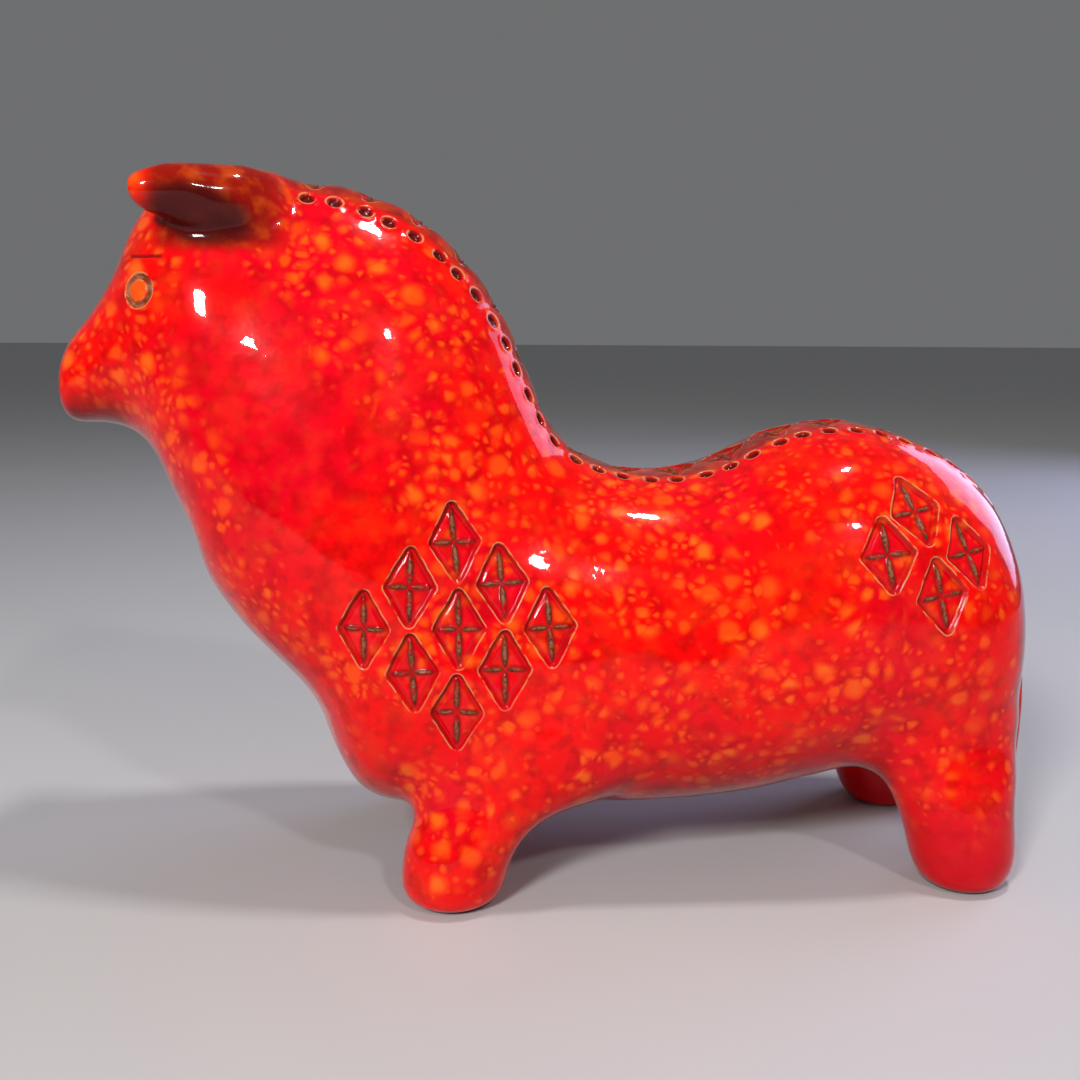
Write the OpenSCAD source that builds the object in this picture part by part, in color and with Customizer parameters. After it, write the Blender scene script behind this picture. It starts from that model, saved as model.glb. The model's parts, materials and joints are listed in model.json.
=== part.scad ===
// A plump glazed pottery horse: a hollow body pressed in two halves, with legs, ears and tail luted on.
// The nose points to -X, the horse's left side faces -Y, and the soles stand on Z = 0.

/* [Overall size] */
// Length from nose to tail
horse_length = 274; // [246:1:302]
// Height from the soles to the top of the ears
horse_height = 192; // [172:1:212]
// Width across the feet and belly
horse_width = 98; // [88:1:108]

/* [Body] */
// Thickness of the pottery wall
wall = 4.5; // [3:0.5:6]
// Squareness of the body's cross-section, where 2 is an ellipse
body_fullness = 2.25; // [2:0.05:2.6]
// Diameter of the firing vent in the belly
vent_d = 7; // [4:0.5:9]

/* [Legs] */
// Distance from the middle of the body to the middle of a front foot
front_foot_offset = 34; // [32:0.5:35]
// Distance from the middle of the body to the middle of a hind foot
hind_foot_offset = 32; // [30:0.5:34]
// Depth to which a leg's clay reaches into the body before it is cut to fit
leg_reach = 48; // [44:1:52]

/* [Ears] */
// Distance from the middle of the head to the root of an ear
ear_offset = 17; // [15:0.5:20]

/* [Tail] */
// Widest part of the tail
tail_width = 15; // [11:0.5:18]

/* [Hidden] */

// The rows below are drawn for a horse of this length, width and height
drawn_size = [274, 98, 192];
size_factor = [
    horse_length / drawn_size[0],
    horse_width / drawn_size[1],
    horse_height / drawn_size[2]
];
// The nose and the tail of the drawn horse stand equally far from this X
drawn_middle_x = 5;

// Body sections from nose to rump: top X, top Z, bottom X, bottom Z, half width, narrowing to the top
body_rows = [
    [-132, 137, -132, 129,  6, 0.00],
    [-130, 146, -130, 125, 12, 0.00],
    [-122, 156, -121, 125, 16, 0.00],
    [-115, 168, -112, 122, 20, 0.00],
    [-110, 179, -106, 115, 24, 0.02],
    [-102, 187, -102, 105, 28, 0.05],
    [ -88, 190,  -97,  94, 32, 0.10],
    [ -72, 190,  -94,  83, 34, 0.18],
    [ -54, 188,  -87,  72, 37, 0.24],
    [ -37, 181,  -77,  61, 40, 0.28],
    [ -23, 169,  -66,  49, 42, 0.30],
    [ -13, 155,  -60,  34, 43, 0.30],
    [  -7, 140,  -52,  22, 44, 0.26],
    [   1, 123,  -32,  18, 45, 0.18],
    [  12, 115,   -6,  18, 45, 0.10],
    [  28, 112,   22,  18, 45, 0.06],
    [  46, 115,   46,  19, 45, 0.06],
    [  63, 123,   68,  23, 46, 0.06],
    [  82, 126,   90,  27, 46, 0.06],
    [  99, 122,  108,  28, 44, 0.06],
    [ 116, 113,  121,  28, 40, 0.04],
    [ 127, 100,  129,  35, 31, 0.02],
    [ 131,  85,  132,  52, 17, 0.00]
];

// Leg sections from the sole up: Z, front X, rear X, inner and outer Y from the middle of the foot
front_leg_rows = [
    [ 0, -38, -18, -10, 10],
    [ 1, -40, -16, -12, 12],
    [ 4, -42, -14, -13, 14],
    [ 9, -42, -13, -14, 15],
    [16, -41, -10, -14, 15],
    [24, -38,  -3, -15, 13],
    [32, -40,  10, -18, 11],
    [leg_reach, -50, 32, -22, 7]
];
hind_leg_rows = [
    [ 0, 104, 122, -10, 10],
    [ 1, 102, 124, -12, 12],
    [ 4, 100, 126, -13, 13],
    [ 9,  98, 127, -14, 14],
    [16,  96, 127, -14, 13],
    [24,  93, 127, -15, 12],
    [32,  88, 128, -17, 10],
    [leg_reach, 72, 127, -20, 6]
];

// Ear sections from root to tip: X, sideways offset from the root, Z, half thickness, half breadth
ear_rows = [
    [ -72, -6, 181, 9.0, 8.5],
    [ -79, -2, 182, 9.5, 9.5],
    [ -86,  1, 182, 9.0, 9.5],
    [ -93,  4, 183, 8.0, 8.5],
    [ -99,  6, 184, 6.5, 7.0],
    [-104,  8, 184, 4.5, 5.0],
    [-107,  9, 185, 2.0, 2.5]
];

// Tail sections from the root down: X, Z, half thickness, part of the full width
tail_rows = [
    [128, 92, 2, 0.4],
    [132, 78, 3, 0.7],
    [135, 64, 4, 0.8],
    [137, 50, 5, 0.9],
    [137, 36, 5, 1.0],
    [136, 22, 5, 1.0],
    [134, 12, 4, 0.8],
    [133,  8, 2, 0.4]
];

// Numbers of sections and of points around a section
body_steps = 56;
body_sides = 36;
limb_steps = 16;
limb_sides = 24;
// Rows of the body that the hollow starts after and stops before
cavity_start = 1.6;
cavity_end = 1.4;
// Where the vent is drilled, and how far the drill goes up from the level of the soles
vent_x = 40;
vent_reach = 40;

function signed_power(v, p) = sign(v) * pow(abs(v), p);

// Point on a smooth curve through the rows, with t from 0 at the first to 1 at the last
function through(rows, t) =
    let (
        last = len(rows) - 1,
        i = min(floor(t * last), last - 1),
        u = t * last - i,
        b = rows[i],
        c = rows[i + 1],
        a = i > 0 ? rows[i - 1] : 2 * b - c,
        d = i + 2 <= last ? rows[i + 2] : 2 * c - b
    )
    0.5 * (2 * b + u * (c - a) + u * u * (2 * a - 5 * b + 4 * c - d) + pow(u, 3) * (3 * b - a - 3 * c + d));

// Angles around a section, starting at one side
function around(sides) = [for (k = [0 : sides - 1]) 360 * k / sides];

// Cross-section of the body for one row, made smaller all round by inset
function body_ring(row, inset) =
    let (
        top = [row[0], row[1]],
        bottom = [row[2], row[3]],
        middle = (top + bottom) / 2,
        up = (top - bottom) / norm(top - bottom),
        half_height = norm(top - bottom) / 2 - inset,
        half_width = row[4] - inset,
        power = 2 / body_fullness
    )
    [for (angle = around(body_sides))
        let (
            rise = signed_power(sin(angle), power),
            spread = signed_power(cos(angle), power) * (1 - row[5] * rise)
        )
        [middle[0] + up[0] * half_height * rise, half_width * spread, middle[1] + up[1] * half_height * rise]
    ];

function body_rings(first, last, inset) =
    [for (k = [0 : body_steps]) body_ring(through(body_rows, first + (last - first) * k / body_steps), inset)];

// Closed skin over a list of rings that all have the same number of points
module skin(rings) {
    sides = len(rings[0]);
    last = len(rings) - 1;
    points = [for (ring = rings) each ring];
    walls = [
        for (r = [0 : last - 1], k = [0 : sides - 1])
            let (a = r * sides + k, b = r * sides + (k + 1) % sides)
            each [[a, b + sides, b], [a, a + sides, b + sides]]
    ];
    first_cap = [for (k = [0 : sides - 1]) k];
    last_cap = [for (k = [sides - 1 : -1 : 0]) last * sides + k];
    polyhedron(points, concat(walls, [first_cap, last_cap]), convexity = 8);
}

// Joins everything below it into one closed surface at its real size, with the origin under its middle
module finished() {
    resize([0, 0, 0]) scale(size_factor) translate([-drawn_middle_x, 0, 0]) children();
}

// Whole outside of the body, without its hollow
module body_form() {
    skin(body_rings(0, 1, 0));
}

module body_hollow() {
    rows = len(body_rows) - 1;
    skin(body_rings(cavity_start / rows, 1 - cavity_end / rows, wall));
}

// Half of the hollow body, on the side given by -1 for left and 1 for right
module body_half(side) {
    reach = 400;
    color("orangered") finished() difference() {
        body_form();
        body_hollow();
        translate([vent_x, 0, 0]) cylinder(d = vent_d, h = vent_reach, $fn = 32);
        translate([-reach / 2, side > 0 ? -reach : 0, -reach / 2]) cube(reach);
    }
}

// Level section of a leg on the side given by -1 for left and 1 for right
function leg_ring(row, side, foot_offset) =
    let (
        middle = [(row[1] + row[2]) / 2, side * (foot_offset + (row[3] + row[4]) / 2)],
        half = [(row[2] - row[1]) / 2, (row[4] - row[3]) / 2]
    )
    [for (angle = around(limb_sides)) [
        middle[0] + half[0] * cos(angle),
        middle[1] + half[1] * sin(angle),
        row[0]
    ]];

module leg(rows, side, foot_offset) {
    color("crimson") finished() difference() {
        skin([for (k = [0 : limb_steps]) leg_ring(through(rows, k / limb_steps), side, foot_offset)]);
        body_form();
    }
}

// Section of an ear, standing across its length
function ear_ring(row, side) =
    [for (angle = around(limb_sides)) [
        row[0],
        side * (ear_offset + row[1]) + row[3] * cos(angle),
        row[2] + row[4] * sin(angle)
    ]];

module ear(side) {
    rings = [for (k = [0 : limb_steps]) ear_ring(through(ear_rows, k / limb_steps), side)];
    color("maroon") finished() difference() {
        skin([for (k = [limb_steps : -1 : 0]) rings[k]]);
        body_form();
    }
}

function tail_ring(row) =
    [for (angle = around(limb_sides)) [
        row[0] + row[2] * cos(angle),
        row[3] * tail_width / 2 * sin(angle),
        row[1]
    ]];

module tail() {
    rings = [for (k = [limb_steps : -1 : 0]) tail_ring(through(tail_rows, k / limb_steps))];
    color("firebrick") finished() difference() {
        skin(rings);
        body_form();
    }
}

body_half(-1);  // left_body_shell
body_half(1);  // right_body_shell
leg(front_leg_rows, -1, front_foot_offset);  // front_left_leg
leg(front_leg_rows, 1, front_foot_offset);  // front_right_leg
leg(hind_leg_rows, -1, hind_foot_offset);  // hind_left_leg
leg(hind_leg_rows, 1, hind_foot_offset);  // hind_right_leg
ear(-1);  // left_ear
ear(1);  // right_ear
tail();
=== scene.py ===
"""Looks of a glazed pottery horse, built in Blender 4.5 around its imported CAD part.

The CAD nodes become distance fields, which soft clay fillets join into one smooth skin. The skin is
pressed with the potter's stamps, cut into one closed piece for each CAD node, and glazed.
Shapes are worked out in millimetres in the frame's own axes, and go to Blender in metres.
"""

import json
import math

import bpy
import numpy as np
import openvdb as vdb
from mathutils import Matrix, Vector
from mathutils.bvhtree import BVHTree


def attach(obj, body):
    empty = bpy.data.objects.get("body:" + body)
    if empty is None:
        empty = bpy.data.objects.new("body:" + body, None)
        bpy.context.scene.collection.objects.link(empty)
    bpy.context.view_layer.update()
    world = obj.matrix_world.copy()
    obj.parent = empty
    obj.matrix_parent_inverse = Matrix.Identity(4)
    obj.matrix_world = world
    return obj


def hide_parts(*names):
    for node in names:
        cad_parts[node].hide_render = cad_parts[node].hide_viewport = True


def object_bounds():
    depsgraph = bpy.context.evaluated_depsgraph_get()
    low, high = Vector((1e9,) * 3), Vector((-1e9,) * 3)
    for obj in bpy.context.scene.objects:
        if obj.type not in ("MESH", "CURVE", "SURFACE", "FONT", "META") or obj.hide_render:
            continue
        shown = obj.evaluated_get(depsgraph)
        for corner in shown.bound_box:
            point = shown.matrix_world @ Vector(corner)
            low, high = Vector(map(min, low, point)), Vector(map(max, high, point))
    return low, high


MM = 0.001
UP = np.array([0.0, 0.0, 1.0])
SIDES = {"left": -1, "right": 1}

# Distance fields: the spacing of their points, how far they are true, and the room round the horse
STEP = 1.5
BAND_STEPS = 12
BAND = STEP * BAND_STEPS
ROOM = 12.0

# Thickness of the pottery wall, and the firing vent in the belly with the heights its drill spans
WALL = 4.5
VENT_X = 35.0
VENT_RADIUS = 3.5
VENT_HEIGHTS = (5.0, 40.0)

# Radii of the clay fillets, and of the smoothing by the potter's hand. The fillet of the front legs
# grows backwards from the chest to the belly, and that of the ears from their tips to their roots.
FRONT_FILLET_AHEAD = 5.0
FRONT_FILLET_BEHIND = 16.0
CHEST_X = -50.0
BELLY_X = -10.0
HIND_FILLET = 8.0
EAR_FILLET = 2.2
EAR_ROOT_FILLET = 7.0
EAR_GROWTH_START = -88.0
EAR_GROWTH_END = -78.0
TAIL_FILLET = 2.5
BODY_SMOOTHING = 1.8
TRIM_SMOOTHING = 0.9

# Slow waves left by hand pressing: wavelength and height, and how many there are of each
HAND_WAVES = [(70, 0.25), (34, 0.13), (17, 0.05)]
WAVES_OF_EACH = 5

# Hollow of an ear: its middle on the right side, its radii and the softness of its edge
SCOOP_MIDDLE = (-95.5, 35.0, 176.5)
SCOOP_RADII = (12.5, 8.0, 8.5)
SCOOP_EDGE = 2.5

# How far round its middle each stamp works the clay
LOZENGE_REACH = 13.0
RING_REACH = 4.5
FACE_REACH = 7.0

# Lozenge stamp: half width, half height, corner radius, depth
LOZENGE = (6.8, 10.3, 1.7, 1.2)
# Ribs of its cross: where one starts from the middle, the gap at its end, and its half width
UPRIGHT_RIB = (0.2, 1.2, 0.95)
LEVEL_RIB = (0.3, 0.9, 0.8)
RIB_HEIGHT = 0.8
FLANK_MIDDLE = (-31.7, 76.5)
FLANK_PITCH = (11.7, 10.8)
FLANK_SLIP = 0.4
RUMP_MIDDLE = (90.6, 94.0)
RUMP_PITCH = (5.9, 5.4)
RUMP_SLANT = 0.27
RUMP_LEAN = 8.0
# The clay on the rump was softer, so the same stamp spread there
RUMP_SPREAD = 1.14

# Rings run in two rows beside the spine, and lozenges lie across it between them
RING_RADIUS = 2.15
RING_DEPTH = 1.1
RING_LIP = 0.2
RING_SLIP = 0.35
RING_PITCH = 7.35
RING_START = 8.3
ROW_OFFSET = 14.0
SPINE_PITCH = 15.0
SPINE_FIRST = 8.0
SPINE_START = (-77.0, 188.0)
SPINE_END_Z = 100.0

# Eye and the line over it, on one side
EYE_MIDDLE = (-111.0, 159.7)
EYE_RADII = (2.8, 4.5)
EYE_DEPTH = 0.95
EYE_LIP = 0.15
EYE_DOME = 0.25
BROW_MIDDLE = (-109.7, 168.6)
BROW_HALF_LENGTH = 4.8
BROW_HALF_WIDTH = 0.65
BROW_DEPTH = 0.4
BROW_BOW = 0.25

# Marks that tell the glaze which stamp it is in. A ring's pit mark is 1 and a lozenge's is 0.
EYE_PIT = 0.4
BROW_PIT = 0.75
EYE_DISC_PRESS = 3.0
# Marks of a point that no stamp reached
NO_RIM = 4.0
NO_RIB = -4.0

# Furrows combed down the tail: their pitch, and how far they rise and sink
COMB_PITCH = 2.6
COMB_DEPTH = 0.16

# How near to a stamp's outline the triangles are halved, the first time and the second
DETAIL_MARGINS = (1.3, 0.8)

# Seeds of the random slips and tilts of the stamps, and of the hand's waves
STAMP_SEED = 11
WAVE_SEED = 5

# Ends of the line on the side of the neck that has no spots round it, in X and Z
CHEEK = np.array([-88.0, 150.0])
THROAT = np.array([-62.0, 100.0])

# Dark oval in the hollow of an ear, seen from the side: middle in X and Z, radii and lean in degrees
DARK_OVAL_MIDDLE = (-94.5, 178.0)
DARK_OVAL_RADII = (12.5, 7.5)
DARK_OVAL_LEAN = 18.0

# How far the cutters of the pieces stand out from the skin
CUTTER_MARGIN = 5.0
# How far from the skin a cut piece's point may be and still be on it
OUTSIDE_TOLERANCE = 0.02
# How near to the middle plane a triangle lies on the seam between the body's halves
SEAM_TOLERANCE = 0.01


# ---------------------------------------------------------------- small helpers


def soft_step(t):
    """0 below 0, 1 above 1, and smooth between."""
    t = np.clip(t, 0, 1)
    return t * t * (3 - 2 * t)


def ramp(value, low, high):
    """0 below low, 1 above high, smooth between. It falls when low is above high."""
    return soft_step((value - low) / (high - low))


def unit(v):
    """Vectors brought to length 1."""
    return v / np.maximum(np.linalg.norm(v, axis=-1, keepdims=True), 1e-12)


def mesh_arrays(obj):
    """Corner points in millimetres and triangles of a mesh object."""
    mesh = obj.data
    mesh.calc_loop_triangles()
    points = np.empty(len(mesh.vertices) * 3, np.float32)
    mesh.vertices.foreach_get("co", points)
    triangles = np.empty(len(mesh.loop_triangles) * 3, np.int32)
    mesh.loop_triangles.foreach_get("vertices", triangles)
    return points.reshape(-1, 3) / MM, triangles.reshape(-1, 3)


def make_object(name, points, faces):
    """A mesh object from points in millimetres, and faces as an array or as lists."""
    if isinstance(faces, np.ndarray):
        faces = faces.tolist()
    mesh = bpy.data.meshes.new(name)
    mesh.from_pydata((points * MM).tolist(), [], faces)
    mesh.update()
    obj = bpy.data.objects.new(name, mesh)
    bpy.context.scene.collection.objects.link(obj)
    return obj


def triangles_of(quads):
    """Each quad as two triangles."""
    return np.concatenate([quads[:, [0, 1, 2]], quads[:, [0, 2, 3]]])


def point_normals(points, faces):
    """Normals of a mesh's points, weighted by the areas of their triangles."""
    a, b, c = (points[faces[:, k]] for k in range(3))
    across = np.cross(b - a, c - a)
    total = np.zeros_like(points)
    for k in range(3):
        np.add.at(total, faces[:, k], across)
    return unit(total)


# ---------------------------------------------------------------- distance fields


class Space:
    """The regular grid of points that all fields share."""

    def __init__(self, low, high):
        self.low = np.floor((np.array(low) - ROOM) / STEP).astype(int)
        self.shape = np.ceil((np.array(high) + ROOM) / STEP).astype(int) - self.low
        self.origin = self.low * STEP

    def axis(self, k):
        """Coordinates along one axis, shaped to spread over the grid."""
        values = self.origin[k] + STEP * np.arange(self.shape[k])
        return values.reshape([-1 if k == j else 1 for j in range(3)])

    def distance(self, points, triangles):
        """Distance from a mesh, below zero inside it, and no further than the band."""
        grid = vdb.FloatGrid.createLevelSetFromPolygons(
            np.ascontiguousarray(points, np.float32),
            triangles=np.ascontiguousarray(triangles, np.uint32),
            transform=vdb.createLinearTransform(STEP),
            halfWidth=BAND_STEPS,
        )
        values = np.full(self.shape, BAND, np.float32)
        grid.copyToArray(values, ijk=tuple(int(i) for i in self.low))
        return values

    def surface(self, values, level=0.0, every=1):
        """Closed mesh where a field crosses a level, from every so many grid points."""
        grid = vdb.FloatGrid(BAND)
        grid.copyFromArray(np.ascontiguousarray(values[::every, ::every, ::every], np.float32))
        points, quads = grid.convertToQuads(level)
        return points * (STEP * every) + self.origin, triangles_of(quads.astype(int))

    def value_and_slope(self, values, points):
        """A field read between its points with cubic B-splines, which keep it smooth, and its gradient."""
        place = (points - self.origin) / STEP
        cell = np.floor(place).astype(int)
        cell = np.clip(cell, 1, self.shape - 3)
        t = place - cell
        weights = [
            (1 - t) ** 3 / 6,
            (3 * t**3 - 6 * t**2 + 4) / 6,
            (-3 * t**3 + 3 * t**2 + 3 * t + 1) / 6,
            t**3 / 6,
        ]
        slopes = [
            -((1 - t) ** 2) / 2,
            (3 * t**2 - 4 * t) / 2,
            (-3 * t**2 + 2 * t + 1) / 2,
            t**2 / 2,
        ]
        value = np.zeros(len(points))
        slope = np.zeros((len(points), 3))
        for i in range(4):
            for j in range(4):
                wx, wy = weights[i][:, 0], weights[j][:, 1]
                sx, sy = slopes[i][:, 0], slopes[j][:, 1]
                for k in range(4):
                    wz, sz = weights[k][:, 2], slopes[k][:, 2]
                    v = values[cell[:, 0] + i - 1, cell[:, 1] + j - 1, cell[:, 2] + k - 1]
                    value += v * wx * wy * wz
                    slope[:, 0] += v * sx * wy * wz
                    slope[:, 1] += v * wx * sy * wz
                    slope[:, 2] += v * wx * wy * sz
        return value, slope / STEP

    def onto_surface(self, values, points, rounds=3):
        """Points moved onto a field's zero surface, and the surface's normals there."""
        for _ in range(rounds):
            value, slope = self.value_and_slope(values, points)
            points = points - slope * (value / np.maximum((slope**2).sum(1), 0.1))[:, None]
        return points, unit(self.value_and_slope(values, points)[1])


def blurred(values, radius):
    """A field averaged with a Gaussian of that radius in millimetres."""
    reach = int(math.ceil(2.5 * radius / STEP))
    offsets = np.arange(-reach, reach + 1)
    weights = np.exp(-0.5 * (offsets * STEP / radius) ** 2)
    weights /= weights.sum()
    for axis in range(3):
        padding = [(reach, reach) if axis == k else (0, 0) for k in range(3)]
        wide = np.pad(values, padding, mode="edge")
        length = values.shape[axis]
        parts = [w * np.take(wide, range(n, n + length), axis) for n, w in enumerate(weights)]
        values = sum(parts).astype(np.float32)
    return values


def joined(a, b, fillet):
    """Union of two fields with a soft fillet."""
    h = np.maximum(fillet - np.abs(a - b), 0) / fillet
    return np.minimum(a, b) - h * h * fillet / 4


def carved(a, b, edge):
    """Field a with b taken out of it, and a soft edge."""
    return -joined(-a, b, edge)


def body_field(space, nodes):
    """Field of the whole body as if it weren't hollow."""
    shells = [mesh_arrays(nodes[f"{side}_body_shell"]) for side in SIDES]
    solid = np.minimum(*[space.distance(*shell) for shell in shells]) < 0
    filled = np.maximum.accumulate(solid, 1) & np.maximum.accumulate(solid[:, ::-1], 1)[:, ::-1]
    count = len(shells[0][0])
    points = np.concatenate([shell[0] for shell in shells])
    triangles = np.concatenate([shells[0][1], shells[1][1] + count])
    a, b, c = (points[triangles[:, k]] for k in range(3))
    middle = (a + b + c) / 3
    ahead = middle + unit(np.cross(b - a, c - a)) * 1.5 * STEP
    cell = np.round((ahead - space.origin) / STEP).astype(int)
    faces_outside = ~filled[tuple(cell.T)]
    on_seam = np.abs(middle[:, 1]) < SEAM_TOLERANCE
    size = np.abs(space.distance(points, triangles[faces_outside & ~on_seam]))
    return np.where(filled, -size, size)


def ear_scoop(space, side):
    """Field of the hollow of an ear, which opens outwards and down."""
    place = (space.axis(0), side * space.axis(1), space.axis(2))
    away = [((v - middle) / radius) ** 2 for v, middle, radius in zip(place, SCOOP_MIDDLE, SCOOP_RADII)]
    size = min(SCOOP_RADII)
    return np.sqrt(away[0] + away[1] + away[2]) * size - size


def all_fields(space, nodes):
    """Fields of the body, of each node joined to it, and of the whole smooth horse."""
    added = {name: obj for name, obj in nodes.items() if "shell" not in name}
    fields = {name: space.distance(*mesh_arrays(obj)) for name, obj in added.items()}
    body = body_field(space, nodes)
    whole = body
    x = space.axis(0)
    behind = ramp(x, CHEST_X, BELLY_X)
    front_fillet = FRONT_FILLET_AHEAD + (FRONT_FILLET_BEHIND - FRONT_FILLET_AHEAD) * behind
    for side in SIDES:
        whole = joined(whole, fields[f"front_{side}_leg"], front_fillet)
        whole = joined(whole, fields[f"hind_{side}_leg"], HIND_FILLET)
    whole = blurred(whole, BODY_SMOOTHING)
    whole = joined(whole, blurred(fields["tail"], TRIM_SMOOTHING), TAIL_FILLET)
    to_root = ramp(x, EAR_GROWTH_START, EAR_GROWTH_END)
    ear_fillet = EAR_FILLET + (EAR_ROOT_FILLET - EAR_FILLET) * to_root
    for side, sign in SIDES.items():
        ear = blurred(fields[f"{side}_ear"], TRIM_SMOOTHING)
        ear = carved(ear, ear_scoop(space, sign), SCOOP_EDGE)
        whole = joined(whole, ear, ear_fillet)
    return body, fields, whole


# ---------------------------------------------------------------- stamps


def lozenge_distance(x, y, half_width, half_height, corner):
    """Distance from a lozenge with round corners, below zero inside."""
    b = np.array([half_width - corner, half_height - corner])
    x, y = np.abs(x), np.abs(y)
    h = np.clip(((b[0] - 2 * x) * b[0] - (b[1] - 2 * y) * b[1]) / (b @ b), -1, 1)
    away = np.hypot(x - 0.5 * b[0] * (1 - h), y - 0.5 * b[1] * (1 + h))
    return away * np.sign(x * b[1] + y * b[0] - b[0] * b[1]) - corner


def spindle(along, across, length, start, gap, half_width):
    """How far inside a rib with pointed ends a point is, below zero outside."""
    end = length - gap
    t = np.clip((along - start) / (end - start), 0, 1)
    width = half_width * np.sin(np.pi * t**0.8) ** 0.7
    return width - np.abs(across) - 2 * np.maximum(np.maximum(start - along, along - end), 0)


def outline_waves(x, y, tilt):
    """Unevenness of a lozenge's outline in millimetres, different for each tilt."""
    long_wave = 0.07 * np.sin(0.7 * x + 0.5 * y + 40 * tilt[0])
    short_wave = 0.04 * np.sin(1.3 * y - 0.9 * x + 60 * tilt[1])
    return long_wave + short_wave


def raised_lip(d, height):
    """Clay pushed up just outside a stamp's outline."""
    return height * np.exp(-(((d - 0.6) / 0.7) ** 2))


def press_lozenge(x, y, tilt):
    """Height, outline distance, rib, pit and press marks of a lozenge stamp with a cross in it."""
    half_width, half_height, corner, depth = LOZENGE
    d = lozenge_distance(x, y, half_width, half_height, corner) + outline_waves(x, y, tilt)
    upright = spindle(np.abs(y), x, half_height, *UPRIGHT_RIB)
    level = spindle(np.abs(x), y, half_width, *LEVEL_RIB)
    ribs = np.maximum(upright, level)
    press = np.clip(1 + tilt[0] * x / half_width + tilt[1] * y / half_height, 0.25, 1.6)
    wall = -depth * soft_step(-d)
    pillow = 0.45 * soft_step((-d - 0.7) / 1.4) - 0.4 * soft_step((-d - 1.8) / 2.6)
    height = press * (wall + pillow) + RIB_HEIGHT * soft_step(ribs / 0.9)
    return height, d, ribs, np.zeros_like(d), press


def press_rump_lozenge(x, y, tilt):
    """The lozenge stamp as it spread in the softer clay of the rump."""
    return press_lozenge(x / RUMP_SPREAD, y, tilt)


def press_ring(x, y, tilt):
    """A round tube stamp, which leaves a small pit with a lip."""
    r = np.hypot(x, y)
    d = r - RING_RADIUS
    press = np.clip(1 + (tilt[0] * x + tilt[1] * y) / RING_RADIUS, 0.4, 1.5)
    height = -RING_DEPTH * soft_step(-d / 1.3) * press + raised_lip(d, RING_LIP)
    return height, d, np.full_like(d, NO_RIB), np.ones_like(d), press


def press_eye(x, y, tilt):
    """A wide tube stamp, which leaves a round groove with a disc inside it."""
    r = np.hypot(x, y)
    inner, outer = EYE_RADII
    d = np.abs(r - (inner + outer) / 2) - (outer - inner) / 2
    dome = EYE_DOME * soft_step(1 - r / inner)
    height = -EYE_DEPTH * soft_step(-d / 0.6) + raised_lip(d, EYE_LIP) + dome
    press = np.where(r < inner, EYE_DISC_PRESS, 1.0)
    return height, d, np.full_like(d, NO_RIB), np.full_like(d, EYE_PIT), press


def press_brow(x, y, tilt):
    """A short line cut with the edge of a tool. Its distance counts in half widths of the line."""
    past_end = np.maximum(np.abs(x) - BROW_HALF_LENGTH, 0)
    d = np.hypot(past_end, y + BROW_BOW * np.cos(x / 3)) / BROW_HALF_WIDTH - 1
    height = -BROW_DEPTH * soft_step(-d / 0.9)
    return height, d, np.full_like(d, NO_RIB), np.full_like(d, BROW_PIT), np.zeros_like(d)


class Stamped:
    """What the stamps do at each point of the skin."""

    def __init__(self, points, normals):
        self.points = points
        self.normals = normals
        self.height = np.zeros(len(points))
        self.rim = np.full(len(points), NO_RIM)
        self.rib = np.full(len(points), NO_RIB)
        self.pit = np.zeros(len(points))
        self.press = np.ones(len(points))

    def press_with(self, profile, reach, middle, normal, up, tilt=(0.0, 0.0)):
        """Presses one stamp at a point, with its long axis along up."""
        near = np.where(((self.points - middle) ** 2).sum(1) < reach**2)[0]
        near = near[(self.normals[near] @ normal) > 0.2]
        up = unit(up - normal * (up @ normal))
        right = np.cross(up, normal)
        offset = self.points[near] - middle
        height, d, ribs, pit, press = profile(offset @ right, offset @ up, tilt)
        closer = d < self.rim[near]
        self.height[near] += height
        hit = near[closer]
        self.rim[hit] = d[closer]
        self.rib[hit] = ribs[closer]
        self.pit[hit] = pit[closer]
        self.press[hit] = press[closer]


def side_point(space, whole, x, z, side):
    """Where a line along Y at that X and Z meets the horse's side, and the normal."""
    column = np.array([[x, side * y, z] for y in np.arange(ROOM / 2, 60, 0.5)])
    value, _ = space.value_and_slope(whole, column)
    first_outside = np.argmax(value > 0)
    point, normal = space.onto_surface(whole, column[first_outside][None])
    return point[0], normal[0]


def spine_path(space, whole, y):
    """Points a millimetre apart along the horse's top from the poll to the rump at that Y."""
    point = np.array([SPINE_START[0], y, SPINE_START[1]])
    path, normals = [], []
    while point[2] > SPINE_END_Z or point[0] < 0:
        for _ in range(3):
            value, slope = space.value_and_slope(whole, point[None])
            slope = slope[0] * (1, 0, 1)
            point = point - slope * value[0] / (slope @ slope)
        normal = space.value_and_slope(whole, point[None])[1][0]
        path.append(point)
        normals.append(unit(normal))
        flat = unit(normal * (1, 0, 1))
        point = point + np.array([flat[2], 0, -flat[0]])
    return np.array(path), np.array(normals)


def at_pitch(path, pitch, start):
    """Indexes of the path's points at even steps along it."""
    length = np.concatenate([[0], np.cumsum(np.linalg.norm(np.diff(path, axis=0), axis=1))])
    return np.searchsorted(length, np.arange(start, length[-1], pitch))


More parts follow.
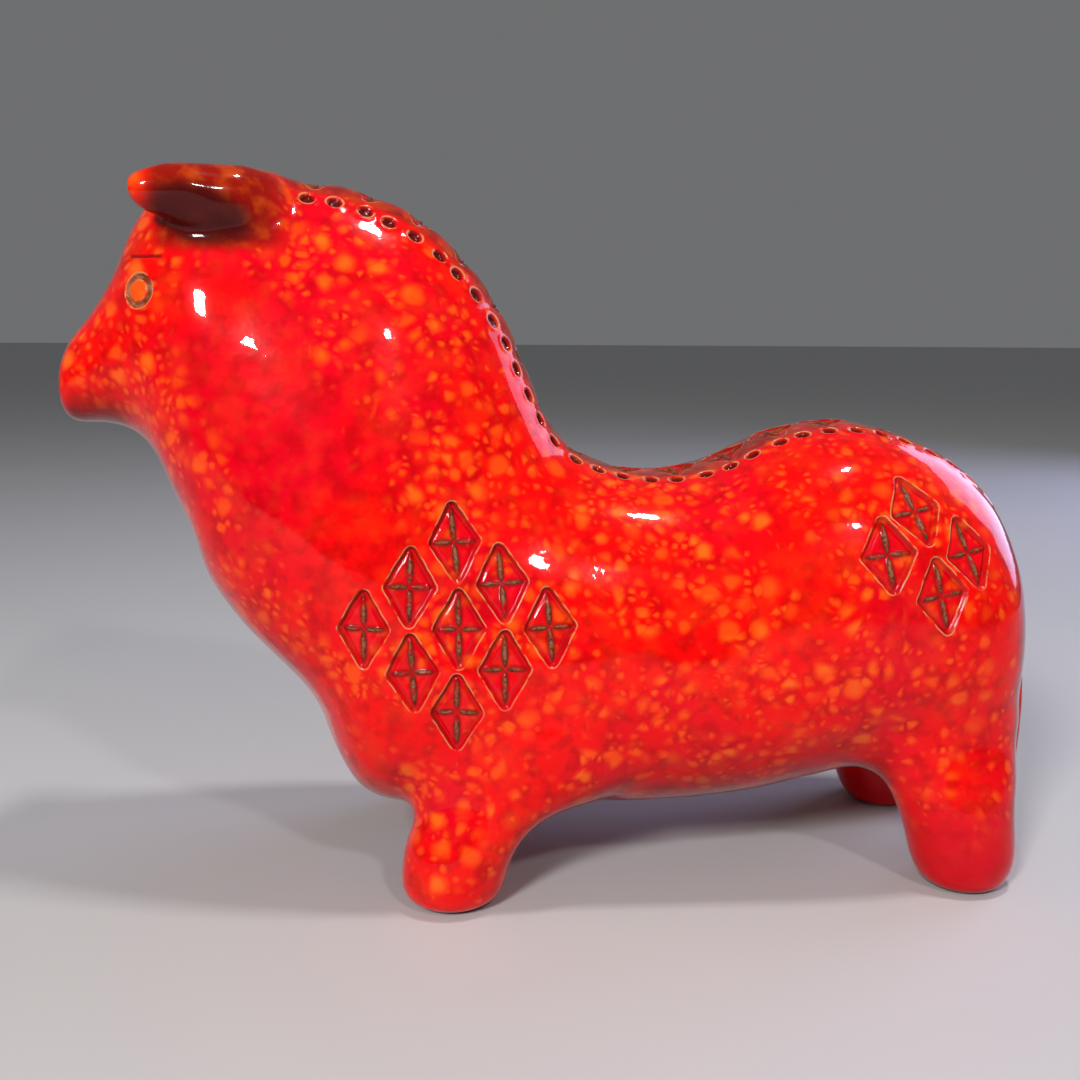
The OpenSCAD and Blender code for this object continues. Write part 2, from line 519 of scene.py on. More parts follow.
def flank_stamps(space, whole, side, random):
    """Nine lozenges, which together make a larger one."""
    for i in (-1, 0, 1):
        for j in (-1, 0, 1):
            x = FLANK_MIDDLE[0] + (i - j) * FLANK_PITCH[0] + random.uniform(-FLANK_SLIP, FLANK_SLIP)
            z = FLANK_MIDDLE[1] + (i + j) * FLANK_PITCH[1] + random.uniform(-FLANK_SLIP, FLANK_SLIP)
            lean = np.array([random.uniform(-0.08, 0.08), 0, 1])
            tilt = (0.15 * side + random.uniform(-0.15, 0.15), 0.3 + random.uniform(-0.12, 0.12))
            yield press_lozenge, LOZENGE_REACH, *side_point(space, whole, x, z, side), lean, tilt


def rump_stamps(space, whole, side, random):
    """Four lozenges, which lean forwards."""
    for i, j in ((-1, -1), (-1, 1), (1, -1), (1, 1)):
        rise = (i + j) * RUMP_PITCH[1]
        x = RUMP_MIDDLE[0] + (i - j) * RUMP_PITCH[0] - RUMP_SLANT * rise
        z = RUMP_MIDDLE[1] + rise
        lean = UP + np.array([-math.tan(math.radians(RUMP_LEAN + random.uniform(-3, 3))), 0, 0])
        tilt = (random.uniform(-0.1, 0.1), random.uniform(0, 0.15))
        yield press_rump_lozenge, LOZENGE_REACH, *side_point(space, whole, x, z, side), lean, tilt


def face_stamps(space, whole, side):
    """The eye and the line over it."""
    for profile, place in ((press_eye, EYE_MIDDLE), (press_brow, BROW_MIDDLE)):
        yield profile, FACE_REACH, *side_point(space, whole, *place, side), UP


def ring_stamps(space, whole, side, random):
    """A row of rings beside the spine."""
    path, normals = spine_path(space, whole, side * ROW_OFFSET)
    for k in at_pitch(path, RING_PITCH, RING_START):
        shift = random.uniform(-RING_SLIP, RING_SLIP, 3)
        tilt = tuple(random.uniform(-0.2, 0.2, 2))
        yield press_ring, RING_REACH, path[k] + shift, normals[k], UP + shift, tilt


def spine_stamps(path, normals, random):
    """Lozenges that lie across the spine."""
    for k in at_pitch(path, SPINE_PITCH, SPINE_FIRST):
        lean = np.array([random.uniform(-0.06, 0.06), 1.0, 0.0])
        tilt = tuple(random.uniform(-0.1, 0.1, 2))
        yield press_lozenge, LOZENGE_REACH, path[k], normals[k], lean, tilt


def list_stamps(space, whole):
    """Every stamp as profile, reach, middle, normal, up and tilt, and the path of the spine."""
    random = np.random.default_rng(STAMP_SEED)
    stamps = []
    for side in SIDES.values():
        stamps += flank_stamps(space, whole, side, random)
        stamps += rump_stamps(space, whole, side, random)
        stamps += face_stamps(space, whole, side)
        stamps += ring_stamps(space, whole, side, random)
    path, normals = spine_path(space, whole, 0.0)
    stamps += spine_stamps(path, normals, random)
    return stamps, path


# ---------------------------------------------------------------- the skin


def split_marked(points, faces, marked_face):
    """Halves every edge of the marked triangles, and splits their neighbours to match."""
    edges = np.sort(faces[:, [0, 1, 1, 2, 2, 0]].reshape(-1, 2), axis=1)
    keys = edges[:, 0].astype(np.int64) * len(points) + edges[:, 1]
    unique, inverse = np.unique(keys, return_inverse=True)
    inverse = inverse.reshape(-1, 3)
    chosen = np.zeros(len(unique), bool)
    chosen[inverse[marked_face].ravel()] = True
    number = np.full(len(unique), -1)
    number[chosen] = len(points) + np.arange(chosen.sum())
    a, b = unique[chosen] // len(points), unique[chosen] % len(points)
    points = np.concatenate([points, (points[a] + points[b]) / 2])
    middles = number[inverse]
    count = (middles >= 0).sum(1)
    done = [faces[count == 0]]

    # All three edges halved: four triangles
    full = count == 3
    f, m = faces[full], middles[full]
    for k in range(3):
        done.append(np.stack([f[:, k], m[:, k], m[:, k - 1]], 1))
    done.append(m)

    # One edge halved: two triangles. Two edges halved: three triangles.
    for k in range(3):
        one = (count == 1) & (middles[:, k] >= 0)
        f, m = np.roll(faces[one], -k, 1), middles[one, k]
        done.append(np.stack([f[:, 0], m, f[:, 2]], 1))
        done.append(np.stack([m, f[:, 1], f[:, 2]], 1))
        two = (count == 2) & (middles[:, k] < 0)
        f, m = np.roll(faces[two], -k, 1), np.roll(middles[two], -k, 1)
        done.append(np.stack([f[:, 2], m[:, 2], m[:, 1]], 1))
        done.append(np.stack([m[:, 2], f[:, 0], m[:, 1]], 1))
        done.append(np.stack([f[:, 0], f[:, 1], m[:, 1]], 1))
    return points, np.concatenate(done)


def hand_waves(points):
    """Unevenness left by hand pressing, in millimetres."""
    random = np.random.default_rng(WAVE_SEED)
    total = np.zeros(len(points))
    for wavelength, height in HAND_WAVES:
        for _ in range(WAVES_OF_EACH):
            direction = unit(random.normal(size=3)) * 2 * math.pi / wavelength
            total += height / 2.2 * np.sin(points @ direction + random.uniform(0, 2 * math.pi))
    return total


def combed_part(points):
    """1 on the part of the tail that was combed, 0 away from it, and smooth between."""
    x, y, z = points.T
    return ramp(x, 128, 132) * ramp(np.abs(y), 9, 7) * ramp(z, 80, 68)


def stamped(space, whole, points, stamps):
    """The skin's points put on the surface, their normals, and what the stamps do there."""
    points, normals = space.onto_surface(whole, points)
    marks = Stamped(points, normals)
    for stamp in stamps:
        marks.press_with(*stamp)
    return points, normals, marks


def make_skin(space, whole, stamps, low, high):
    """Points, faces, normals and stamp marks of the whole stamped surface, kept inside the CAD's box."""
    points, faces = space.surface(whole)
    for margin in DETAIL_MARGINS:
        points, normals, marks = stamped(space, whole, points, stamps)
        detailed = (marks.rim < margin) | (combed_part(points) > 0)
        points, faces = split_marked(points, faces, detailed[faces].any(1))
    points, normals, marks = stamped(space, whole, points, stamps)
    furrows = COMB_DEPTH * combed_part(points) * np.sin(points[:, 1] * 2 * math.pi / COMB_PITCH)
    height = marks.height + hand_waves(points) + furrows
    moved = np.clip(points + normals * height[:, None], low, high)
    shaded = unit(normals + point_normals(moved, faces) - point_normals(points, faces))
    return moved, faces, shaded, marks


# ---------------------------------------------------------------- cutting into pieces


def boolean(obj, other, operation):
    """Applies one boolean to an object and keeps the result."""
    step = obj.modifiers.new(operation, "BOOLEAN")
    step.object = other
    step.operation = operation
    step.solver = "MANIFOLD"
    bpy.context.view_layer.update()
    made = bpy.data.meshes.new_from_object(obj.evaluated_get(bpy.context.evaluated_depsgraph_get()))
    obj.modifiers.clear()
    obj.data = made


def half_space(side):
    """A box that holds one side of the horse."""
    reach = 400.0
    corners = np.array([[x, y, z] for x in (-1, 1) for y in (0, 1) for z in (-1, 1)]) * reach
    corners[:, 1] *= side
    faces = np.array([[0, 1, 3, 2], [4, 6, 7, 5], [0, 4, 5, 1], [2, 3, 7, 6], [0, 2, 6, 4], [1, 5, 7, 3]])
    return make_object("half", corners, faces if side > 0 else faces[:, ::-1])


def vent_drill():
    """A round bar through the belly at the firing vent."""
    sides = 32
    angles = np.arange(sides) * 2 * math.pi / sides
    ring = np.stack([VENT_X + VENT_RADIUS * np.cos(angles), VENT_RADIUS * np.sin(angles)], 1)
    low, high = (np.column_stack([ring, np.full(sides, z)]) for z in VENT_HEIGHTS)
    points = np.concatenate([low, high])
    k = np.arange(sides)
    after = (k + 1) % sides
    walls = np.stack([k, after, after + sides, k + sides], 1).tolist()
    faces = walls + [k[::-1].tolist(), (k + sides).tolist()]
    return make_object("vent", points, faces)


def cut_pieces(space, body, fields, whole, skin):
    """One closed mesh object for each CAD node, cut from the skin."""
    points, faces = skin
    cutters = {}
    for name, field in fields.items():
        region = np.maximum(field - body, whole - CUTTER_MARGIN)
        cutters[name] = make_object("cut_" + name, *space.surface(region))
    hollow = make_object("hollow", *space.surface(blurred(body, BODY_SMOOTHING), -WALL, every=2))
    vent = vent_drill()
    halves = {side: half_space(sign) for side, sign in SIDES.items()}
    pieces = {}
    for name, cutter in cutters.items():
        piece = make_object("skin_" + name, points, faces)
        boolean(piece, cutter, "INTERSECT")
        pieces[name] = piece
    for side, half in halves.items():
        shell = make_object(f"skin_{side}_body_shell", points, faces)
        boolean(shell, half, "INTERSECT")
        boolean(shell, hollow, "DIFFERENCE")
        boolean(shell, vent, "DIFFERENCE")
        for name, cutter in cutters.items():
            if side in name or name == "tail":
                boolean(shell, cutter, "DIFFERENCE")
        pieces[f"{side}_body_shell"] = shell
    for helper in [hollow, vent, *halves.values(), *cutters.values()]:
        bpy.data.objects.remove(helper)
    return pieces


def barycentric(points, corners):
    """Weights of a triangle's corners at points in it."""
    a, b, c = (corners[:, k] for k in range(3))
    u, v, w = b - a, c - a, points - a
    uu, uv, vv = (u * u).sum(1), (u * v).sum(1), (v * v).sum(1)
    wu, wv = (w * u).sum(1), (w * v).sum(1)
    size = np.maximum(uu * vv - uv * uv, 1e-12)
    second = (vv * wu - uv * wv) / size
    third = (uu * wv - uv * wu) / size
    weights = np.clip(np.stack([1 - second - third, second, third], 1), 0, 1)
    return weights / weights.sum(1, keepdims=True)


def carry_over(piece, tree, skin, marks):
    """Gives a cut piece the skin's normals and stamp marks, so that no seam shows."""
    points, faces, normals = skin
    mesh = piece.data
    mesh.shade_smooth()
    place = np.empty(len(mesh.vertices) * 3, np.float32)
    mesh.vertices.foreach_get("co", place)
    place = place.reshape(-1, 3) / MM
    found = [tree.find_nearest(p) for p in place.tolist()]
    face = np.array([hit[2] for hit in found])
    away = np.array([hit[3] for hit in found])
    nearest = np.array([hit[0] for hit in found])
    weights = barycentric(nearest, points[faces[face]])
    own = np.empty(len(mesh.vertices) * 3, np.float32)
    mesh.vertices.foreach_get("normal", own)
    carried = unit((normals[faces[face]] * weights[:, :, None]).sum(1))
    outside = away < OUTSIDE_TOLERANCE
    shown = np.where(outside[:, None], carried, own.reshape(-1, 3))
    mesh.normals_split_custom_set_from_vertices(shown.tolist())
    for name, values in marks.items():
        attribute = mesh.attributes.new(name, "FLOAT", "POINT")
        attribute.data.foreach_set("value", (values[faces[face]] * weights).sum(1).astype(np.float32))


# ---------------------------------------------------------------- marks for the glaze
#
# Each ramp runs between two places in millimetres, or two values of one part of the normal.


def crest_mark(points, spine):
    """The strip along the spine, between the rows of rings."""
    x, y, z = points.T
    to_spine = np.full(len(points), np.inf)
    for p in spine[::6]:
        to_spine = np.minimum(to_spine, np.hypot(x - p[0], z - p[2]))
    return ramp(np.abs(y), ROW_OFFSET, ROW_OFFSET - 4) * ramp(to_spine, 24, 16)


def shade_mark(points, normals):
    """Painted shade under the belly and the chin and round the soles, and darker on the faces turned to
    the rear.
    """
    x, _, z = points.T
    rearward, _, up = normals.T
    # Painted shade: belly, chin and sole darken faces turned down and points near the ground
    belly = ramp(up, -0.2, -1.0) * ramp(z, 4, 16)
    rear_strip = ramp(rearward, 0.58, 0.83) * ramp(z, 100, 70) * ramp(z, 6, 26)
    rump_top = 0.8 * ramp(rearward, 0.48, 0.73) * ramp(z, 78, 93)
    rear = np.maximum(rear_strip, rump_top) * ramp(x, 92, 104)
    chin = ramp(x, -112, -126) * ramp(up, 0.1, -0.6) * ramp(z, 104, 114)
    sole = ramp(z, 2.2, 0.8)
    return np.clip(0.75 * belly + 0.85 * rear + 0.35 * chin + 0.7 * sole, 0, 1)


def plain_mark(points):
    """The area without spots round the line from the cheek to the throat."""
    place = points[:, [0, 2]] - CHEEK
    line = THROAT - CHEEK
    along = np.clip(place @ line / (line @ line), 0, 1)
    away = np.linalg.norm(place - along[:, None] * line, axis=1)
    return ramp(away, 24, 10)


def calm_mark(points):
    """The lower parts of the hind legs, which have no spots and are darkened with painted shade."""
    return ramp(points[:, 0], 60, 75) * ramp(points[:, 2], 34, 8)


def ear_mark(points):
    """The brown ears, which turn back to red at their tips."""
    x, y, z = points.T
    whole = ramp(z, 168, 173) * ramp(x, -70, -80) * ramp(np.abs(y), 12, 17)
    return whole * (1 - 0.85 * ramp(x, -104, -109))


def scoop_mark(points, normals):
    """The dark oval in the hollow of an ear."""
    x, y, z = points.T
    ahead, above = x - DARK_OVAL_MIDDLE[0], z - DARK_OVAL_MIDDLE[1]
    lean = math.radians(DARK_OVAL_LEAN)
    along = ahead * math.cos(lean) - above * math.sin(lean)
    across = ahead * math.sin(lean) + above * math.cos(lean)
    oval = ramp(np.hypot(along / DARK_OVAL_RADII[0], across / DARK_OVAL_RADII[1]), 1.25, 0.75)
    return oval * ramp(normals[:, 2], 0.75, 0.25) * ramp(z, 168, 172) * ramp(np.abs(y), 15, 19)


def skin_marks(points, normals, marks, spine):
    """Numbers at each point of the skin that tell the glaze where it is."""
    return {
        "rim": marks.rim,
        "rib": marks.rib,
        "pit": marks.pit,
        "press": marks.press,
        "crest": crest_mark(points, spine),
        "shade": shade_mark(points, normals),
        "calm": calm_mark(points),
        "plain": plain_mark(points),
        "ear": ear_mark(points),
        "scoop": scoop_mark(points, normals),
    }


# ---------------------------------------------------------------- glaze


def linear(screen_value):
    """A screen's value from 0 to 255 as the shader's linear value."""
    v = screen_value / 255
    return v / 12.92 if v <= 0.04045 else ((v + 0.055) / 1.055) ** 2.4


def rgb(red, green, blue):
    """A colour given in screen values from 0 to 255, as the shader's linear values."""
    return (linear(red), linear(green), linear(blue), 1.0)


# How far apart the spots of each size are, in millimetres, and how strong they are
SPOT_SIZES = [(7.5, 1.0), (4.8, 0.9), (3.0, 0.7)]

# Finish of the glaze: the coat is the glass, and the little gloss under it is the coloured layer's
BUMP_DEPTH = 0.12
BUMP_STRENGTH = 0.6
COAT_ROUGHNESS = 0.03
COAT_IOR = 1.27
UNDERCOAT_SPECULAR = 0.03

RED = rgb(238, 4, 4)
DEEP_RED = rgb(170, 0, 4)
ROSE_RED = rgb(222, 0, 24)
# Rose of the lower hind legs, made darker to stand for painted shade
SHADED_LEG_ROSE = rgb(196, 0, 22)
ORANGE = rgb(246, 70, 12)
YELLOW_ORANGE = rgb(238, 112, 26)
OLIVE_ORANGE = rgb(172, 62, 12)
EAR_BROWN = rgb(112, 18, 6)
MAROON = rgb(96, 0, 4)
SCOOP_BROWN = rgb(62, 8, 8)
TAN = rgb(200, 142, 94)
WALL_BROWN = rgb(104, 48, 26)
# Ribs: the lighter brown is their tops with painted highlight, the darker brown their sides with painted
# shade and their speckles
RIB_BROWN = rgb(146, 100, 72)
RIB_DARK = rgb(84, 34, 22)
# Painted shade inside the pits of the rings and the brow
PIT_BROWN = rgb(92, 14, 8)
EYE_TAN = rgb(170, 118, 80)
EYE_DARK = rgb(122, 58, 30)


class Shader:
    """Short calls for the nodes of one material."""

    def __init__(self, name):
        self.material = bpy.data.materials.new(name)
        self.material.use_nodes = True
        self.tree = self.material.node_tree
        self.surface = next(n for n in self.tree.nodes if n.type == "BSDF_PRINCIPLED")
        coordinates = self.node("ShaderNodeTexCoord", output="Object")
        scaled = {0: coordinates, "Scale": 1 / MM}
        self.place = self.node("ShaderNodeVectorMath", scaled, operation="SCALE")

    def node(self, kind, inputs=None, output=0, **settings):
        """Adds a node, sets it and its inputs, and returns one of its outputs."""
        made = self.tree.nodes.new(kind)
        for name, value in settings.items():
            setattr(made, name, value)
        for key, value in (inputs or {}).items():
            if isinstance(value, bpy.types.NodeSocket):
                self.tree.links.new(value, made.inputs[key])
            else:
                made.inputs[key].default_value = value
        return made.outputs[output]

    def mark(self, name):
        """One of the numbers that the skin carries."""
        return self.node("ShaderNodeAttribute", output="Fac", attribute_name=name)

    def math(self, operation, a, b):
        return self.node("ShaderNodeMath", {0: a, 1: b}, operation=operation)

    def times(self, a, b):
        return self.math("MULTIPLY", a, b)

    def ramp(self, value, low, high):
        """0 below low, 1 above high, smooth between. It falls when low is above high."""
        inputs = {"Value": value, "From Min": low, "From Max": high}
        return self.node("ShaderNodeMapRange", inputs, interpolation_type="SMOOTHSTEP")

    def spread(self, value, low, high, new_low, new_high):
        """A value taken from one range to another in a straight line."""
        return self.node("ShaderNodeMapRange", {0: value, 1: low, 2: high, 3: new_low, 4: new_high})

    def mix(self, factor, a, b):
        """Colour a where the factor is 0, and b where it is 1."""
        return self.node("ShaderNodeMix", {0: factor, 6: a, 7: b}, output=2, data_type="RGBA")

    def noise(self, size, detail=2.0, output="Fac"):
        """Cloudy noise with lumps of about that size in millimetres."""
        inputs = {"Vector": self.place, "Scale": 1 / size, "Detail": detail}
        return self.node("ShaderNodeTexNoise", inputs, output=output)

    def shaken(self, size, amount):
        """Coordinates pushed about by noise, so that cells lose their straight sides."""
        middle = (0.5, 0.5, 0.5)
        push = self.noise(size, output="Color")
        push = self.node("ShaderNodeVectorMath", {0: push, 1: middle}, operation="SUBTRACT")
        push = self.node("ShaderNodeVectorMath", {0: push, "Scale": amount}, operation="SCALE")
        return self.node("ShaderNodeVectorMath", {0: self.place, 1: push}, operation="ADD")

    def spots(self, size, place, crowd):
        """Soft cells about so far apart. A crowd of 0 leaves few of them, and of 1 fills the surface."""
        inputs = {"Vector": place, "Scale": 1 / size, "Randomness": 1.0}
        distance = self.node("ShaderNodeTexVoronoi", inputs, output="Distance")
        cell_colour = self.node("ShaderNodeTexVoronoi", inputs, output="Color")
        chance = self.node("ShaderNodeSeparateColor", {0: cell_colour})
        to_edge = self.node("ShaderNodeTexVoronoi", inputs, feature="DISTANCE_TO_EDGE")
        lit = self.ramp(self.math("SUBTRACT", self.times(crowd, 1.4), chance), 0.0, 0.8)
        shape = self.times(self.ramp(to_edge, 0.0, 0.3), self.ramp(distance, 0.68, 0.0))
        return self.times(shape, lit)


def mottled_colour(shader):
    """Red glaze with soft orange spots, which leave darker lines where they meet."""
    place = shader.shaken(4.0, 1.4)
    crowd = shader.spread(shader.noise(20.0, 2.0), 0.32, 0.64, 0.32, 1.0)
    spots = 0.0
    for size, strength in SPOT_SIZES:
        layer = shader.times(shader.spots(size, place, crowd), strength)
        spots = shader.math("MAXIMUM", spots, layer)
    for quiet in ("calm", "plain"):
        spots = shader.times(spots, shader.ramp(shader.mark(quiet), 1.4, 0.0))
    warm = shader.times(shader.ramp(shader.noise(8.0, 3.0), 0.45, 0.7), 0.16)
    cloud = shader.ramp(shader.noise(5.0, 4.0), 0.42, 0.68)
    colour = shader.mix(shader.ramp(shader.noise(45.0), 0.45, 0.65), RED, ROSE_RED)
    colour = shader.mix(shader.times(cloud, 0.55), colour, DEEP_RED)
    colour = shader.mix(warm, colour, ORANGE)
    colour = shader.mix(shader.ramp(spots, 0.0, 0.75), colour, ORANGE)
    core = shader.times(shader.ramp(spots, 0.45, 0.95), shader.ramp(shader.noise(11.0), 0.4, 0.6))
    return shader.mix(shader.times(core, 0.6), colour, YELLOW_ORANGE)


def toned_colour(shader, colour):
    """The mottled glaze as it turns along the crest and over the ears and feet, with painted shade under
    the belly.
    """
    drift = shader.ramp(shader.noise(5.0, 4.0), 0.42, 0.68)
    brown = shader.mix(drift, EAR_BROWN, OLIVE_ORANGE)
    crest = shader.times(shader.mark("crest"), shader.ramp(shader.noise(9.0, 3.0), 0.25, 0.55))
    colour = shader.mix(shader.times(crest, 0.8), colour, brown)
    # Rosy lower hind legs, darkened with painted shade
    colour = shader.mix(shader.times(shader.mark("calm"), 0.75), colour, SHADED_LEG_ROSE)
    # Painted shade: maroon under the belly and the chin and round the soles, also on the faces turned to
    # the rear, broken into patches
    patchy = shader.spread(shader.noise(11.0, 3.0), 0.35, 0.6, 0.6, 1.0)
    colour = shader.mix(shader.times(shader.mark("shade"), patchy), colour, MAROON)
    ear = shader.times(shader.mark("ear"), 0.85)
    colour = shader.mix(ear, colour, brown)
    return shader.mix(shader.times(shader.mark("scoop"), 0.92), colour, SCOOP_BROWN)


def hollow_colour(shader, colour, rough_rim):
    """Painted rosy reflection on the floor, brown walls, and painted shade at the base of the walls inside
    each stamp.
    """
    rim, press = shader.mark("rim"), shader.mark("press")
    # Painted reflection: a rosy tint on the floor of each stamp
    floor = shader.times(shader.ramp(rim, 0.0, -0.5), shader.ramp(shader.noise(5.0), 0.62, 0.42))
    colour = shader.mix(shader.times(floor, 0.65), colour, ROSE_RED)
    wall = shader.times(shader.ramp(rough_rim, 0.1, -0.15), shader.ramp(rough_rim, -0.85, -0.35))
    wall = shader.times(wall, shader.ramp(press, 0.85, 1.4))
    colour = shader.mix(shader.times(wall, 0.7), colour, WALL_BROWN)
    # Painted shade: maroon just inside the walls, at their base
    wall_foot_shade = shader.times(shader.ramp(rim, -2.6, -0.4), shader.ramp(rim, 0.0, -0.3))
    return shader.mix(shader.times(wall_foot_shade, 0.3), colour, MAROON)


def pit_colour(shader, colour):
    """Painted shade in the pits of the rings and the brow, and the eye's orange disc in its bare groove.
    """
    rim, pit, press = (shader.mark(name) for name in ("rim", "pit", "press"))
    # Painted shade: brown in the pits of the rings and in the brow line
    pit_shade = shader.times(shader.ramp(pit, 0.5, 0.9), shader.ramp(rim, -0.2, -0.8))
    colour = shader.mix(pit_shade, colour, PIT_BROWN)
    groove = shader.times(shader.ramp(pit, 0.1, 0.3), shader.ramp(pit, 0.6, 0.5))
    groove = shader.times(groove, shader.ramp(rim, 0.0, -0.3))
    bare_clay = shader.mix(shader.ramp(shader.noise(2.5, 4.0), 0.35, 0.65), EYE_DARK, EYE_TAN)
    colour = shader.mix(shader.times(shader.ramp(press, 2.0, 2.8), 0.5), colour, YELLOW_ORANGE)
    return shader.mix(shader.times(groove, 0.85), colour, bare_clay)


def rim_line(shader, rough_rim):
    """Where the glaze breaks along the outline of a stamp. The line is wider round a pit."""
    outer = shader.math("SUBTRACT", rough_rim, shader.times(shader.mark("pit"), 0.16))
    line = shader.times(shader.ramp(rough_rim, -0.2, 0.0), shader.ramp(outer, 0.3, 0.1))
    line = shader.times(line, shader.ramp(shader.mark("press"), 0.5, 0.9))
    return shader.times(line, shader.ramp(shader.noise(3.1), 0.38, 0.56))


def rib_colour(shader, colour, bare):
    """Bare brown ribs, speckled, lighter along their tops with painted highlight and darker at their sides
    with painted shade, in a painted shadow round them.
    """
    rib = shader.mark("rib")
    speckle = shader.ramp(shader.noise(0.8, 4.0), 0.3, 0.62)
    # Painted highlight along the rib tops, broken by speckles; the rib sides keep the darker brown as
    # painted shade
    lit_rib_top = shader.times(shader.ramp(rib, 0.1, 0.75), speckle)
    shadow = shader.times(shader.ramp(rib, -0.7, 0.1), 0.45)
    colour = shader.mix(shadow, colour, MAROON)
    return shader.mix(shader.times(bare, 0.95), colour, shader.mix(lit_rib_top, RIB_DARK, RIB_BROWN))


def stamped_colour(shader, colour):
    """The glaze as it turns in and round the stamps. Also returns how bare the clay is."""
    ragged = shader.times(shader.math("SUBTRACT", shader.noise(2.2, 3.0), 0.5), 0.4)
    rough_rim = shader.math("ADD", shader.mark("rim"), ragged)
    colour = hollow_colour(shader, colour, rough_rim)
    colour = pit_colour(shader, colour)
    line = rim_line(shader, rough_rim)
    colour = shader.mix(shader.times(line, 0.85), colour, TAN)
    bare = shader.ramp(shader.mark("rib"), -0.05, 0.3)
    bare = shader.times(bare, shader.ramp(shader.noise(2.4, 2.0), 0.34, 0.5))
    colour = rib_colour(shader, colour, bare)
    return colour, shader.math("MAXIMUM", bare, shader.times(line, 0.6))


def glaze(name):
    """Thick glossy glaze over pottery."""
    shader = Shader(name)
    colour, bare = stamped_colour(shader, toned_colour(shader, mottled_colour(shader)))
    ripple = shader.times(shader.noise(5.0, 2.0), 0.9)
    grit = shader.times(shader.times(shader.noise(0.5, 3.0), bare), 0.25)
    relief = shader.math("ADD", ripple, grit)
    bump = {"Height": relief, "Distance": BUMP_DEPTH * MM, "Strength": BUMP_STRENGTH}
    normal = shader.node("ShaderNodeBump", bump)
    surface = shader.surface.inputs
    shader.tree.links.new(colour, surface["Base Color"])
    shader.tree.links.new(normal, surface["Normal"])
    shader.tree.links.new(normal, surface["Coat Normal"])
    shader.tree.links.new(shader.ramp(bare, -0.4, 1.0), surface["Roughness"])
    shader.tree.links.new(shader.ramp(bare, 1.2, 0.0), surface["Coat Weight"])
    surface["Coat Roughness"].default_value = COAT_ROUGHNESS
    surface["Coat IOR"].default_value = COAT_IOR
    surface["Specular IOR Level"].default_value = UNDERCOAT_SPECULAR
    return shader.material


# ---------------------------------------------------------------- studio


FLOOR_RADIUS = 40.0
FLOOR_GREY = (0.50, 0.50, 0.51, 1)
FLOOR_PALE = (0.54, 0.54, 0.545, 1)
FLOOR_ROUGHNESS = 0.7

# Soft boxes: place, width and height in metres, power in watts and colour
LIGHTS = {
    "key": ((-0.52, -1.0, 0.74), 0.19, 0.24, 12.8, (1, 0.98, 0.96)),
    "lamp": ((0.3, -0.85, 0.8), 0.07, 0.08, 2.4, (1, 1, 1)),
    "top": ((0.25, -0.1, 1.2), 0.12, 0.09, 5.0, (1, 0.97, 0.93)),
    "side": ((1.08, 0.6, 0.5), 0.7, 0.75, 7.0, (0.6, 0.62, 1)),
}
WORLD_COLOUR = (0.92, 0.93, 0.95, 1)
WORLD_STRENGTH = 0.17

# The photograph's angle: place in metres, turns in degrees and lens in millimetres
CAMERA_PLACE = (-0.0349, -0.345, 0.1478)
CAMERA_YAW = 4.53
CAMERA_PITCH = 9.23
CAMERA_ROLL = 0.28
CAMERA_LENS = 40.97


def paint_floor():
    """A wide pale floor."""
    bpy.ops.mesh.primitive_circle_add(vertices=96, radius=FLOOR_RADIUS, fill_type="NGON")
    floor = bpy.context.object
    floor.name = "floor"
    shader = Shader("pale_floor")
    tone = shader.mix(shader.noise(120.0, 3.0), FLOOR_GREY, FLOOR_PALE)
    shader.tree.links.new(tone, shader.surface.inputs["Base Color"])
    shader.surface.inputs["Roughness"].default_value = FLOOR_ROUGHNESS
    floor.data.materials.append(shader.material)


def add_light(name, place, width, height, power, colour, target):
    """A soft box that faces the horse and isn't seen itself."""
    data = bpy.data.lights.new(name, "AREA")
    data.shape = "RECTANGLE"
    data.size = width
    data.size_y = height
    data.energy = power
    data.color = colour
    light = bpy.data.objects.new(name, data)
    light.location = place
    light.rotation_mode = "QUATERNION"
    light.rotation_quaternion = (Vector(place) - target).to_track_quat("Z", "Y")
    light.visible_camera = False
    bpy.context.scene.collection.objects.link(light)


def light_studio(middle):
    """A window ahead on the left, a small lamp ahead on the right, one above, and a cool one behind."""
    for name, settings in LIGHTS.items():
        add_light(name, *settings, middle)
    world = bpy.data.worlds.new("studio")
    world.use_nodes = True
    background = world.node_tree.nodes["Background"].inputs
    background["Color"].default_value = WORLD_COLOUR
    background["Strength"].default_value = WORLD_STRENGTH
    bpy.context.scene.world = world
    bpy.context.scene.view_settings.view_transform = "Standard"


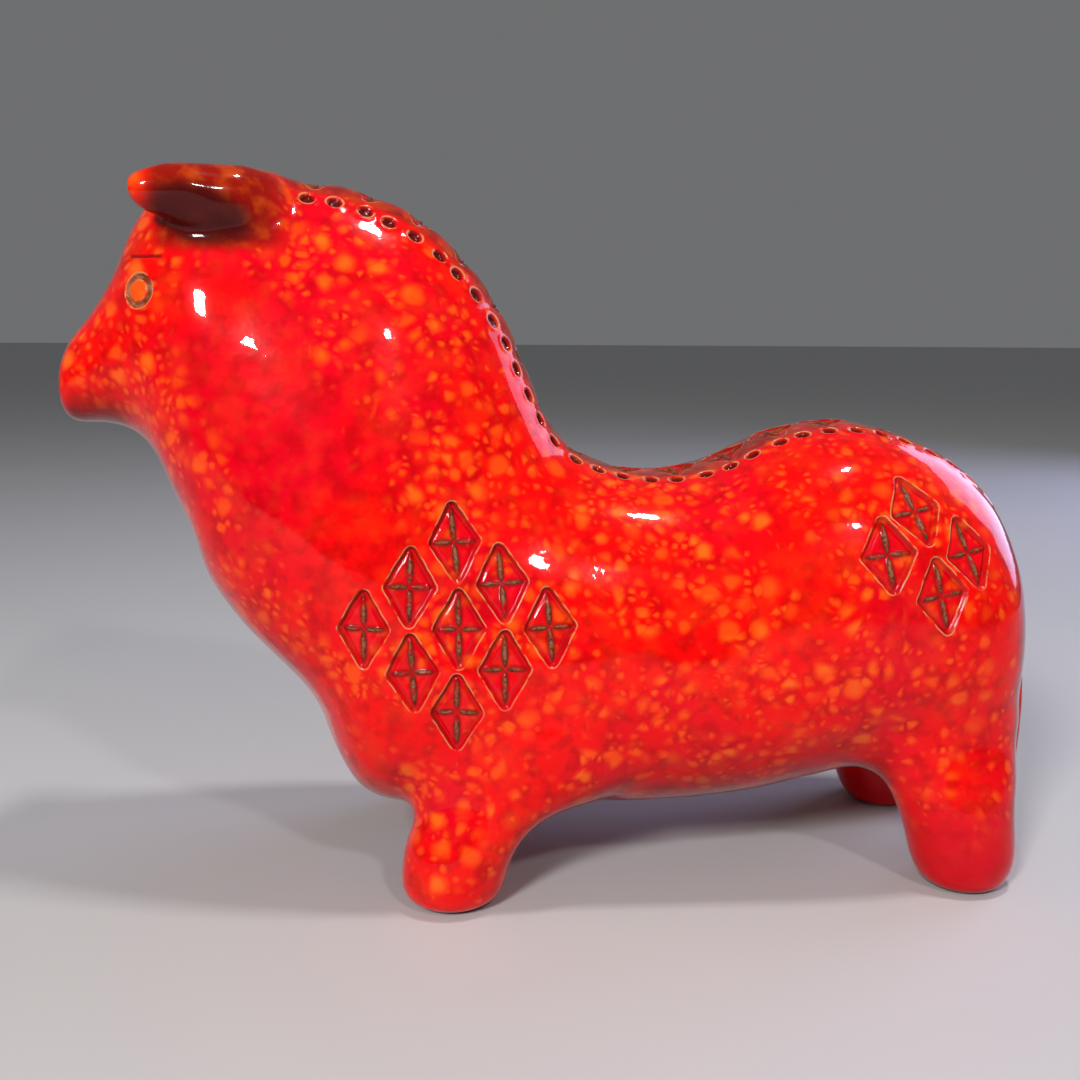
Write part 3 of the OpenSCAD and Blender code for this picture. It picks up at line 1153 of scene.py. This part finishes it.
def place_camera():
    """Camera at the photograph's angle."""
    yaw = Matrix.Rotation(-math.radians(CAMERA_YAW), 4, "Z")
    pitch = Matrix.Rotation(math.pi / 2 - math.radians(CAMERA_PITCH), 4, "X")
    roll = Matrix.Rotation(math.radians(CAMERA_ROLL), 4, "Z")
    data = bpy.data.cameras.new("camera")
    data.lens = CAMERA_LENS
    data.clip_start = 0.01
    data.clip_end = 100.0
    camera = bpy.data.objects.new("camera", data)
    camera.matrix_world = Matrix.Translation(CAMERA_PLACE) @ yaw @ pitch @ roll
    bpy.context.scene.collection.objects.link(camera)
    bpy.context.scene.camera = camera


# ---------------------------------------------------------------- run


def slot_for(node_name):
    """Record slot of the glaze on a node."""
    if "ear" in node_name:
        return "ear_glaze"
    if "leg" in node_name:
        return "leg_glaze"
    return "red_glaze"


def dress(piece, node_name, glazes):
    """Glazes a piece, hangs it under the root body, and hides the CAD node it stands for."""
    slot = slot_for(node_name)
    piece.data.materials.clear()
    piece.data.materials.append(glazes[slot])
    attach(piece, "root")
    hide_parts(node_name)


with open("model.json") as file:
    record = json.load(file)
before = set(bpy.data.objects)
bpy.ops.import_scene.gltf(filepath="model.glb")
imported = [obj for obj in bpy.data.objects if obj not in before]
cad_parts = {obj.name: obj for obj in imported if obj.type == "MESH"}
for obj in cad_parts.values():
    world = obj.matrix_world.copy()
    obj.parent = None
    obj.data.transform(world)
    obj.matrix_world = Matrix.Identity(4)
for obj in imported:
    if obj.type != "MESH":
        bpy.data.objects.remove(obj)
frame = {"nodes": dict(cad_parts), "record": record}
cad_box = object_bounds()
low, high = (np.array(corner) / MM for corner in cad_box)

space = Space(low, high)
body, fields, whole = all_fields(space, frame["nodes"])
stamps, spine = list_stamps(space, whole)
points, faces, normals, marks = make_skin(space, whole, stamps, low, high)
pieces = cut_pieces(space, body, fields, whole, (points, faces))

tree = BVHTree.FromPolygons(points.tolist(), faces.tolist())
marks = skin_marks(points, normals, marks, spine)
glazes = {material["slot"]: glaze(material["slot"]) for material in frame["record"]["materials"]}
for name, piece in pieces.items():
    carry_over(piece, tree, (points, faces, normals), marks)
    dress(piece, name, glazes)

paint_floor()
light_studio((Vector(cad_box[0]) + Vector(cad_box[1])) / 2)
place_camera()
